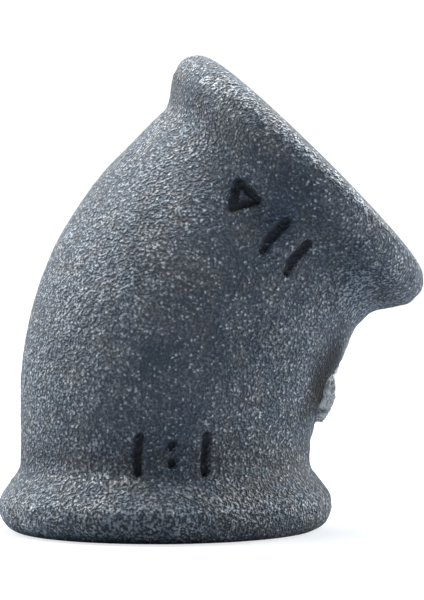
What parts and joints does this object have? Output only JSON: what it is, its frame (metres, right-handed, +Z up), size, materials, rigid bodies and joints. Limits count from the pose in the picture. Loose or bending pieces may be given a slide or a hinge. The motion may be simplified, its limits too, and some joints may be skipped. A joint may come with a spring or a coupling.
{
  "type": "pipe elbow",
  "caption": "Short malleable-iron pipe elbow that turns a run by forty-five degrees, with a rounded reinforcing bead and an internal pipe thread at each end.",
  "frame": {"origin": "middle of the bounding box's footprint, on the plane of the lower end face that the fitting stands on", "axes": "+Z up along the lower end's axis; the upper end's axis points halfway between +X and +Z; Y is across the bend, and the sunk marks are on the -Y side"},
  "size_m": [0.0496, 0.0386, 0.0552],
  "materials": {
    "black_iron": "as-cast sandy skin, uncoated blue-grey to black, threads and chamfers cut"
  },
  "bodies": {
    "root": {"elbow_casting": "black_iron"}
  },
  "joints": []
}
